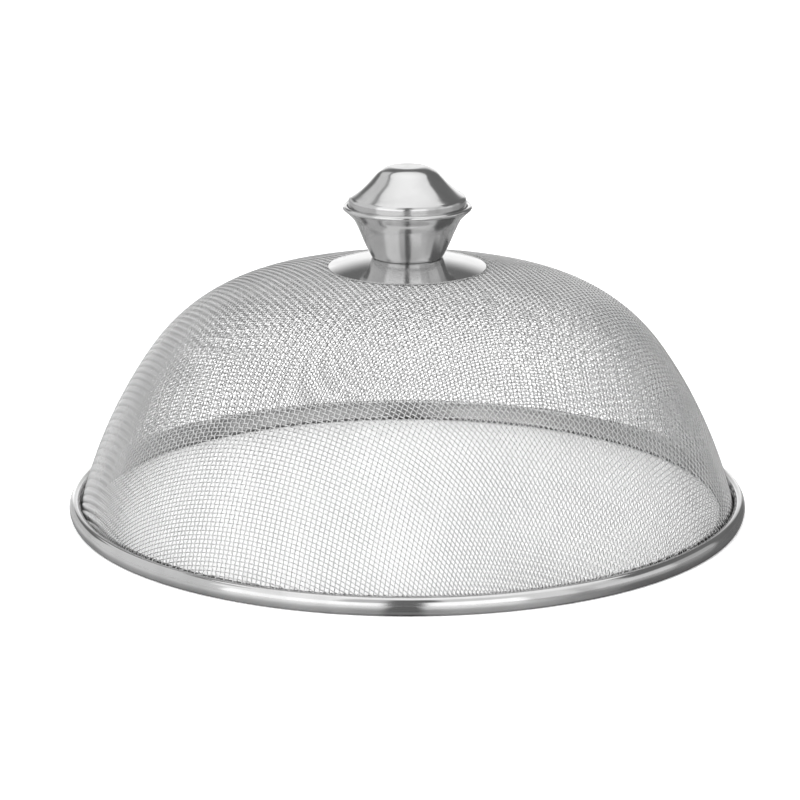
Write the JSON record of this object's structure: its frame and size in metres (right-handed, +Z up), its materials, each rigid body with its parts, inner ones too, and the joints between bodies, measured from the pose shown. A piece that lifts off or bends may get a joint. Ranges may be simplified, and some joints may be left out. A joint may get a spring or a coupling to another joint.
{
  "type": "wire mesh food cover dome",
  "caption": "Round dome of woven steel wire cloth with a rolled steel rim, a polished crown disc and a flared pressed knob, for covering a dish of food on a buffet table.",
  "frame": {"origin": "centre of the rim, on the surface that the cover stands on", "axes": "+Z up along the cover's axis, from the rim to the knob; the cover is round, so +X and +Y are any two directions across it"},
  "size_m": [0.3, 0.3, 0.1536],
  "materials": {
    "polished_steel": "polished stainless steel sheet",
    "wire_steel": "bright drawn stainless steel wire",
    "fastener_steel": "plain stainless steel fasteners"
  },
  "bodies": {
    "cover": {"rim_band": "polished_steel", "hoop_wire": "wire_steel", "mesh_dome": "wire_steel", "top_disc": "polished_steel", "backing_disc": "polished_steel", "flat_washer": "fastener_steel", "lock_washer": "fastener_steel"},
    "screw": {"fixing_screw": "fastener_steel"},
    "knob": {"knob_cup": "polished_steel", "knob_cap": "polished_steel", "weld_nut": "fastener_steel"}
  },
  "joints": [
    {"name": "knob_lift", "type": "slide", "parent": "cover", "child": "knob", "axis": [0, 0, 1], "range_m": [0, 0.0112]},
    {"name": "screw_turn", "type": "hinge", "parent": "cover", "child": "screw", "pos_m": [0, 0, 0.107], "axis": [0, 0, -1], "range_deg": [0, 5040]}
  ],
  "couplings": [
    {"joint": "screw_turn", "follows": "knob_lift", "rad_per_m": 7853.9}
  ]
}
